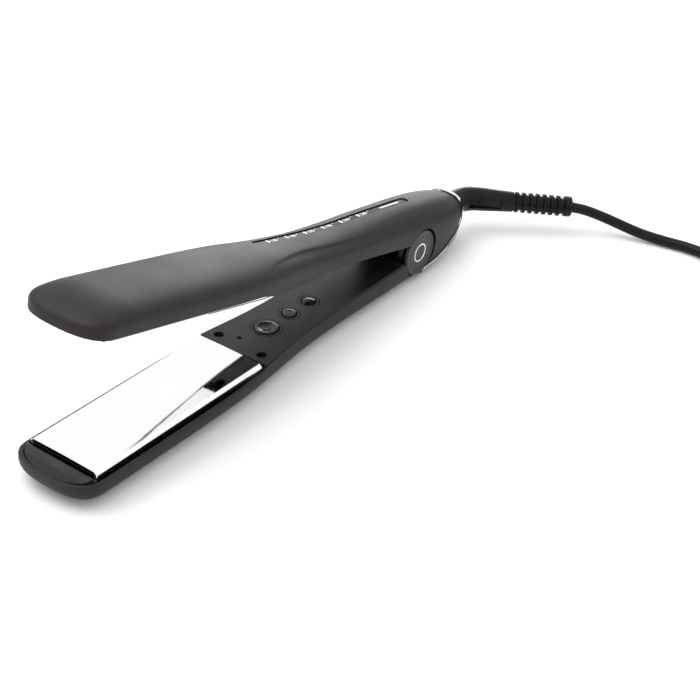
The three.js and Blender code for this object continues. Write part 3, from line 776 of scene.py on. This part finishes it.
def printed(words, size, start, across):
    """Lettering that lies on the display window, start along it and across from its middle line."""
    curve = bpy.data.curves.new("lettering", "FONT")
    curve.body = words
    curve.size = size
    curve.extrude = 0.03
    curve.offset = 0.05
    writing = bpy.data.objects.new("lettering", curve)
    bpy.context.scene.collection.objects.link(writing)
    seen = writing.evaluated_get(bpy.context.evaluated_depsgraph_get())
    bm = bmesh.new()
    bm.from_mesh(seen.to_mesh())
    seen.to_mesh_clear()
    bpy.data.objects.remove(writing)
    bpy.data.curves.remove(curve)
    return laid(bm, start, across)


def laid(bm, start, across):
    """Lays a flat thing drawn about z = 0 on the display window."""
    for vertex in bm.verts:
        place = along_slot(start + vertex.co.x, across + vertex.co.y, 0)
        vertex.co = Vector((place.x, place.y, top_of(place.x, place.y, LENS_DEPTH) + 0.04 + vertex.co.z))
    return bm


PRINT_HALF = 0.03
SCALE_MARKS = {"130": 11.0, "150": 25.3, "170": 39.6, "190": 53.9, "210": 68.2, "230": 82.5}


def printed_block(x0, x1, half):
    return block(x0, x1, -half, half, -PRINT_HALF, PRINT_HALF)


marks = [printed(words, 3.0, at + 2.0, -1.1) for words, at in SCALE_MARKS.items()]
marks += [laid(printed_block(-0.7, 0.7, 1.3), at, 0.0) for at in SCALE_MARKS.values()]
marks += [laid(printed_block(-0.35, 0.35, 0.35), at + 8.9, 1.0) for at in SCALE_MARKS.values()]
bar = merged(*[printed_block(1.5 * k, 1.5 * k + 1.2, 0.55) for k in range(11)])
marks.append(laid(bar, 101.0, 0.0))
show("display_print", swung(merged(*marks)), "upper_arm", PRINT)

# ---------- plates and nose covers ----------

PLATE_EDGE = 1.5
PLATE_CROWN = 0.25
PLATE_FLANGE_Z = -5.4


def plate():
    """A plate with a slightly crowned face, facets along its long edges and flanges under them."""
    half = PLATE_WIDTH / 2
    flange, face = half - 1.4, half - PLATE_EDGE
    outline = [(-half, PLATE_FLANGE_Z), (-flange, PLATE_FLANGE_Z), (-flange, -2.0)]
    outline += [(flange, -2.0), (flange, PLATE_FLANGE_Z), (half, PLATE_FLANGE_Z)]
    outline.append((half, -PLATE_EDGE - PLATE_CROWN))
    outline += [(face * (1 - k / 12), -PLATE_CROWN * (1 - k / 12) ** 2) for k in range(25)]
    outline.append((-half, -PLATE_EDGE - PLATE_CROWN))
    stops = [(0, 0.2), (0.2, 0), (1.4, 0)]
    stops += [(PLATE_LENGTH - 1.4, 0), (PLATE_LENGTH - 0.2, 0), (PLATE_LENGTH, 0.2)]
    rings = []
    for x, inset in stops:
        rings.append([Vector((x, y * (1 - inset / half), z - inset)) for y, z in outline])
    return skin(rings, caps=True)


# Turns a piece of the lower arm over to its place in the closed upper arm.
OVER = Matrix.Translation((0, 0, 0.25)) @ Matrix.Rotation(math.pi, 4, "X")
show("lower_plate_polished", plate(), "lower_plate_carrier", TITANIUM, ["lower_plate"],
     flat_area=math.inf)
show("upper_plate_polished", swung(moved(plate(), OVER)), "upper_plate_carrier", TITANIUM,
     ["upper_plate"], flat_area=math.inf)

# A lid slopes down towards the tip from a narrow groove in front of the plate.
LID = [
    (-13.0, -7.0), (-13.0, -4.6), (-10.6, -3.9), (-8.0, -3.5), (-6.0, -3.3), (-4.6, -2.9), (-3.4, -2.2),
    (-2.4, -1.9), (-2.0, -2.1), (-1.9, -3.6), (-0.4, -3.6), (-0.4, -7.0),
]
lower_lid = common(form(False, WALL + 0.2, 3.4), prism(LID, -30, 30, along="Y"))
show("lower_nose_lid", lower_lid, "lower_arm", BLACK_PLASTIC, ["lower_nose_cover"])
upper_lid = common(form(True, WALL + 0.2, 3.4), moved(prism(LID, -30, 30, along="Y"), OVER))
show("upper_nose_lid", swung(upper_lid), "upper_arm", BLACK_PLASTIC, ["upper_nose_cover"])

# ---------- inner covers and buttons ----------

COVER_FROM = PLATE_LENGTH + 1.8
COVER_TO = 233.5
SCREWS = [Vector((117.4, -13.0, 0)), Vector((117.4, 13.0, 0))]
BUTTONS = {"power": (137.3, 5.9), "plus": (155.1, 3.6), "minus": (170.7, 3.6)}
UP = (0, 0, 1)


def cylinder(radius, low, high, place, sides=48):
    return turned([(radius, low), (radius, high)], place, UP, sides)


def ring_groove(radius, half, low, high, place):
    outline = [(radius - half, high), (radius, low), (radius + half, high), (radius - half, high)]
    return turned(outline, place, UP, 64)


cover = worked(
    common(form(False, 0.5, 2.0), block(COVER_FROM, COVER_TO, -30, 30, -1.85, -1.2)),
    [
        common(form(False, WALL + 0.3, 2.0), block(COVER_FROM, COVER_TO, -30, 30, -3.2, -1.5)),
        *[cylinder(3.3, -6, -1.5, screw) for screw in SCREWS],
    ],
    "UNION",
)
holes = [turned([(3.0, 0.4), (2.4, -1.6), (2.4, -4.6)], screw, UP) for screw in SCREWS]
holes += [cylinder(1.5, -10, -4, screw) for screw in SCREWS]
holes.append(turned([(1.6, -0.9), (1.2, -1.6), (1.2, -10)], (121.7, 4.0, 0), UP, 24))
for x, radius in BUTTONS.values():
    holes.append(turned([(radius + 0.9, -0.9), (radius + 0.3, -1.6), (radius + 0.3, -10)], (x, 0, 0), UP, 64))
    holes.append(ring_groove(radius + 1.9, 0.35, -1.5, -0.9, (x, 0, 0)))
show("lower_cover_panel", cut(cover, *holes), "lower_arm", BLACK_PLASTIC,
     ["lower_inner_cover"])


def rim_slab(low, high):
    """A slab that follows the upper arm's rim, between low and high above it."""
    stops = [COVER_FROM + (COVER_TO - COVER_FROM) * k / 24 for k in range(25)]
    outline = [(x, upper_rim(x) + low) for x in stops]
    outline += [(x, upper_rim(x) + high) for x in stops[::-1]]
    return prism(outline, -30, 30, along="Y")


upper_cover = cut(
    common(form(True, WALL + 0.3, 1.5), rim_slab(0.3, 1.9)),
    *[turned([(3.0, 1.2), (2.4, 2.6), (2.4, 8.0)], screw, UP) for screw in SCREWS],
)
show("upper_cover_panel", swung(upper_cover), "upper_arm", BLACK_PLASTIC,
     ["upper_inner_cover"])


def button(radius, top):
    """A button turned from its top line, down over its flange to the stem under it."""
    outline = [*top, (radius, -1.5), (radius, -3.6), (radius + 1, -3.6), (radius + 1, -4.6)]
    outline += [(1.2, -4.6), (1.2, -7.4), (0, -7.4)]
    return turned(outline, (0, 0, 0), UP, 64)


def placed(bm, x):
    return moved(bm, Matrix.Translation((x, 0, 0)))


def cross_bar(long_x, long_y, low, high):
    return block(-long_x, long_x, -long_y, long_y, low, high, 0.1)


GLYPH_Z, GLYPH_RADIUS, GLYPH_THICK = -1.12, 1.9, 0.26
BAR_LONG, BAR_THIN = 1.3, 0.22
glyph_turns = [math.radians(125 + 290 * k / 20) for k in range(21)]
glyph_ring = [(GLYPH_RADIUS * math.cos(t), GLYPH_RADIUS * math.sin(t), GLYPH_Z) for t in glyph_turns]
power_top = [
    (0, -1.15), (3.3, -1.1), (3.8, -0.8), (4.2, -0.7), (4.5, -0.85), (4.8, -0.72), (5.5, -0.75), (5.9, -1.0),
]
power = merged(
    button(5.9, power_top),
    tube(glyph_ring, [GLYPH_THICK] * 21, 8),
    tube([(0, 0.5, GLYPH_Z), (0, 2.5, GLYPH_Z)], [GLYPH_THICK] * 2, 8),
)
plus = merged(
    button(3.6, [(0, -1.0), (2.0, -0.98), (2.3, -0.75), (2.9, -0.7), (3.4, -0.85)]),
    cross_bar(BAR_LONG, BAR_THIN, -1.2, -0.8),
    cross_bar(BAR_THIN, BAR_LONG, -1.2, -0.8),
)
minus = merged(
    button(3.6, [(0, -0.6), (1.2, -0.62), (2.2, -0.74), (3.0, -0.95), (3.5, -1.25)]),
    cross_bar(BAR_LONG, BAR_THIN, -0.9, -0.5),
)
show("power_button_top", placed(power, BUTTONS["power"][0]), "power_key",
     BUTTON_PLASTIC, ["power_button"])
show("plus_button_top", placed(plus, BUTTONS["plus"][0]), "plus_key",
     BUTTON_PLASTIC, ["plus_button"])
show("minus_button_top", placed(minus, BUTTONS["minus"][0]), "minus_key",
     GLOSS_BLACK, ["minus_button"])

# ---------- hinge caps ----------


def hinge_cap(side):
    """A disc with a rounded edge, a step inside it, and one ring round a shallow dimple."""
    inner = CAP_Y - 1.6
    outline = [
        (0, CAP_Y - 0.75), (1.6, CAP_Y - 0.7), (2.6, CAP_Y - 0.45), (3.2, CAP_Y - 0.42),
        (8.6, CAP_Y - 0.42), (8.8, CAP_Y - 0.55), (9.1, CAP_Y - 0.55), (9.3, CAP_Y - 0.42),
        (10.6, CAP_Y - 0.4), (11.0, CAP_Y - 0.1), (11.4, CAP_Y), (12.0, CAP_Y - 0.08),
        (12.4, CAP_Y - 0.3), (CAP_RADIUS, CAP_Y - 0.7), (CAP_RADIUS, inner), (0, inner),
    ]
    return turned(outline, HINGE, (0, side, 0), 96)


show("hinge_cap_near_disc", hinge_cap(-1), "lower_arm", CAP_PLASTIC, ["hinge_cap_near"])
show("hinge_cap_far_disc", hinge_cap(1), "lower_arm", CAP_PLASTIC, ["hinge_cap_far"])

RING_LOW, RING_TOP = 14.35, 14.72


def cap_ring(side):
    outline = [(4.3, RING_LOW), (4.4, RING_TOP), (5.1, RING_TOP), (5.2, RING_LOW), (4.3, RING_LOW)]
    return turned(outline, HINGE, (0, side, 0), 96)


show("hinge_cap_near_ring", cap_ring(-1), "lower_arm", CHROME)
show("hinge_cap_far_ring", cap_ring(1), "lower_arm", CHROME)

# ---------- bright trim round the hood, collar and boot ----------

trim_line = prism([*PARTING, *[(x, z + 1.0) for x, z in PARTING[::-1]]], -30, 30, along="Y")
trim_bands = [
    block(HOOD_END - 3.2, HOOD_END - 1.9, -30, 30, 0, 40),
    block(HOOD_END - 1.4, HOOD_END + 1, -30, 30, 0, 40),
]
trim = cut(
    common(
        cut(swung(form(True, -0.8, 3)), swung(form(True, -0.35, 9))),
        worked(trim_line, trim_bands, "UNION"),
    ),
    parting_region(0.0, -40.0),
    block(HOOD_END, 320, -30, 30, -60, 60),
)
show("hood_trim_bright", trim, "upper_arm", CHROME, ["hood_trim"])

COLLAR_FROM = 295.5
collar_line = [
    (3.6, 0.0), (8.5, 0.0), (9.0, 0.3), (9.0, 0.85), (8.55, 1.05), (8.55, 1.3), (9.0, 1.5), (9.0, 2.05),
    (8.5, 2.3), (7.9, 2.4), (7.9, 2.75), (7.3, 3.1), (3.6, 3.1), (3.6, 0.0),
]
collar = turned(collar_line, (COLLAR_FROM, 0, SWIVEL_Z), (1, 0, 0), 96)
show("swivel_collar_rings", collar, "lower_arm", CHROME, ["swivel_collar"])

LEG = Vector((
    math.cos(BOOT_DROP) * math.cos(BOOT_TURN),
    math.cos(BOOT_DROP) * math.sin(BOOT_TURN),
    -math.sin(BOOT_DROP),
))
ELBOW = Vector((ELBOW_X, 0, SWIVEL_Z))
BEND = 7.5
RIB_COUNT = 7
RIB_FROM = 29.0
RIB_PITCH = 3.9
RIB_RADIUS = 5.75
NECK_RADIUS = 4.4


def boot_body():
    """A stub out of the collar, an elbow, a tapering leg and the ribs that let it flex."""
    points = [Vector((COLLAR_END + 0.3, 0, SWIVEL_Z)), Vector((COLLAR_END + 2.0, 0, SWIVEL_Z))]
    radii = [6.0, 6.5]
    for k in range(13):
        t = k / 12
        start, end = ELBOW - Vector((BEND, 0, 0)), ELBOW + LEG * BEND
        points.append(start * (1 - t) ** 2 + ELBOW * 2 * t * (1 - t) + end * t * t)
        radii.append(BOOT_RADIUS + 0.25 * math.sin(math.pi * t))
    leg = [(12, 6.45), (20, 6.0), (27.4, 5.65), (28, 5.6), (28.3, 4.6), (28.8, 4.6)]
    for k in range(RIB_COUNT):
        at = RIB_FROM + RIB_PITCH * k
        leg += [(at, 5.3), (at + 0.35, RIB_RADIUS), (at + 1.75, RIB_RADIUS), (at + 2.1, 5.3)]
        leg += [(at + 2.3, NECK_RADIUS), (at + 3.7, NECK_RADIUS)]
    leg += [(BOOT_LENGTH - 4.2, 5.2), (BOOT_LENGTH - 3.8, RIB_RADIUS)]
    leg += [(BOOT_LENGTH - 0.5, 5.65), (BOOT_LENGTH, 5.1)]
    for at, radius in leg:
        points.append(ELBOW + LEG * at)
        radii.append(radius)
    return tube(points, radii, 48)


def beside_leg(along0, along1, out0, out1, high0, high1):
    """A block beside the boot's leg: along it, out to its near side and up."""
    side = LEG.cross((0, 0, 1)).normalized()
    up = side.cross(LEG)
    stand = Matrix((LEG, side, up)).transposed().to_4x4()
    bm = moved(block(along0, along1, out0, out1, high0, high1), Matrix.Translation(ELBOW) @ stand)
    bmesh.ops.recalc_face_normals(bm, faces=bm.faces)
    return bm


# The ribs hang together along two spines; a shallow panel with a short mark lies in the near side of the leg.
boot = worked(boot_body(), [beside_leg(27, 58, -5.25, 5.25, -1.5, 0.6)], "UNION")
boot = cut(boot, beside_leg(2.5, 21.0, 4.6, 8.0, -2.6, 3.4))
boot = worked(boot, [beside_leg(8.6, 9.4, 3.0, 5.4, -0.6, 2.8)], "UNION")
show("swivel_boot_ribbed", boot, "swivel", RUBBER, ["swivel_boot"], 35.0)

# ---------- cord tie and plug ----------


TIE_CORNER = 2.2


def tie_band():
    """A strap round the bundle with a raised end held by a buckle."""
    inner, outer, top = COIL_INNER - 1.2, COIL_OUTER + 0.6, COIL_HEIGHT + 0.2
    rings = []
    corners = [(inner, 0.0), (outer, 0.0), (outer, top), (inner, top)]
    centre = Vector(((inner + outer) / 2, top / 2))
    path = []
    for (r, z), start in zip(corners, (180, 270, 0, 90)):
        for k in range(7):
            turn = math.radians(start + 90 * k / 6)
            to_x = math.copysign(TIE_CORNER, centre.x - r)
            to_z = math.copysign(TIE_CORNER, centre.y - z)
            path.append((Vector((r + to_x, z + to_z)), Vector((math.cos(turn), math.sin(turn)))))
    for middle, away in path:
        ring = []
        for out, y in ((2.2, -4.8), (3.1, -4.8), (3.3, -4.5), (3.3, 4.5), (3.1, 4.8), (2.2, 4.8)):
            point = middle + away * out
            ring.append(Vector((point.x, y, point.y)))
        rings.append(ring)
    rings.append(rings[0])
    band = skin(rings)
    buckle = block(outer - 7, outer - 1.5, -5.6, 5.6, COIL_HEIGHT + 0.1, COIL_HEIGHT + 1.9, 0.5)
    return merged(band, buckle)


TIE_TURN = math.radians(75)
tie = moved(tie_band(), Matrix.Translation(COIL) @ Matrix.Rotation(TIE_TURN, 4, "Z"))
show("cord_tie_strap", tie, "lower_arm", BLACK_PLASTIC, ["cord_tie"])


def plug_shape():
    """A flat two-pin plug.

    A neck for the lead widens to the body, with rounded edges and grip ribs.
    """
    sections = [
        (0.0, 3.4, 3.4), (1.2, 4.3, 4.1), (8.0, 4.7, 4.5), (14.0, 6.4, 5.2), (19.0, 10.5, 5.9),
        (23.0, 12.7, 6.2), (33.6, 13.0, 6.2), (34.6, 12.7, 5.9), (35.0, 12.0, 5.2),
    ]
    rings = []
    for y, half, thick in sections:
        ring = []
        for k in range(48):
            turn = 2 * math.pi * k / 48
            c, s = math.cos(turn), math.sin(turn)
            across = math.copysign(abs(c) ** 0.6, c) * half
            ring.append(Vector((across, y, math.copysign(abs(s) ** 0.75, s) * thick)))
        rings.append(ring)
    body = skin(rings, caps=True)
    grips = [block(-9.5, 9.5, 22.0 + 2.6 * k, 23.2 + 2.6 * k, -6.5, 6.5, 0.3) for k in range(4)]
    return worked(body, grips, "UNION")


plug = moved(plug_shape(), Matrix.Translation(PLUG))
show("plug_moulding", plug, "lower_arm", RUBBER, ["plug_body"])

# ---------- carried-over CAD nodes ----------

slots = {entry["node"]: entry["material_slot"] for entry in frame["record"]["subparts"]}
# Painted shade: the cover screws and hinge brackets get the dark steel, and the status lamp gets the dark
# window finish, in place of their slots' finishes, so that the screw holes, the lamp hole and the gap by the
# hinge look dark.
PAINTED_SHADE_LOOKS = {
    "cover_screw_near": SHADE_PAINTED_STEEL,
    "cover_screw_far": SHADE_PAINTED_STEEL,
    "lower_hinge_bracket": SHADE_PAINTED_STEEL,
    "upper_hinge_bracket": SHADE_PAINTED_STEEL,
    "status_lamp": WINDOW,
}
for name, node in frame["nodes"].items():
    look = PAINTED_SHADE_LOOKS.get(name, SLOT_LOOKS[slots[name]])
    for material_slot in node.material_slots:
        material_slot.material = look
    if not node.material_slots:
        node.data.materials.append(look)

# ---------- table and light ----------


FLOOR_GAP = 0.0002
SKY_FADE_FROM, SKY_FADE_TO = 0.02, 0.56
WALL_STRENGTH, OVERHEAD_STRENGTH = 0.66, 1.15


def add_floor():
    bm = bmesh.new()
    bmesh.ops.create_grid(bm, x_segments=1, y_segments=1, size=6.0)
    mesh = bpy.data.meshes.new("table")
    bm.to_mesh(mesh)
    bm.free()
    white = surface("table_white", (0.9, 0.9, 0.9), 0.9, grain=300, bump=0.0, mottle=0.0, specular=0.0)
    mesh.materials.append(white)
    floor = bpy.data.objects.new("table", mesh)
    floor.location.z = CAD_BOX[0][2] - FLOOR_GAP
    bpy.context.scene.collection.objects.link(floor)


def add_softbox(name, direction, distance, size, radiance):
    """A square lamp that faces the iron and looks as bright as radiance."""
    data = bpy.data.lights.new(name, "AREA")
    data.shape, data.size = "SQUARE", size
    data.energy = math.pi * size * size * radiance
    lamp = bpy.data.objects.new(name, data)
    towards = Vector(direction).normalized()
    lamp.location = towards * distance
    lamp.rotation_euler = towards.to_track_quat("Z", "Y").to_euler()
    bpy.context.scene.collection.objects.link(lamp)


add_floor()
add_softbox("softbox_overhead", (-0.25, 0.45, 1.0), 1.6, 1.4, 2.3)
add_softbox("softbox_behind", (0.84, 0.50, 0.06), 2.2, 0.75, 6.5)


def add_studio():
    """White overhead, and dimmer towards the walls, so that bright metal shows an edge."""
    world = bpy.data.worlds.new("studio")
    world.use_nodes = True
    nodes, links = world.node_tree.nodes, world.node_tree.links
    place = nodes.new("ShaderNodeTexCoord")
    parts = nodes.new("ShaderNodeSeparateXYZ")
    fade = nodes.new("ShaderNodeMapRange")
    fade.interpolation_type = "SMOOTHSTEP"
    fade.inputs["From Min"].default_value = SKY_FADE_FROM
    fade.inputs["From Max"].default_value = SKY_FADE_TO
    fade.inputs["To Min"].default_value = WALL_STRENGTH
    fade.inputs["To Max"].default_value = OVERHEAD_STRENGTH
    links.new(place.outputs["Generated"], parts.inputs["Vector"])
    links.new(parts.outputs["Z"], fade.inputs["Value"])
    links.new(fade.outputs["Result"], nodes["Background"].inputs["Strength"])
    nodes["Background"].inputs["Color"].default_value = (1, 1, 1, 1)
    bpy.context.scene.world = world


add_studio()
bpy.context.scene.view_settings.view_transform = "Standard"
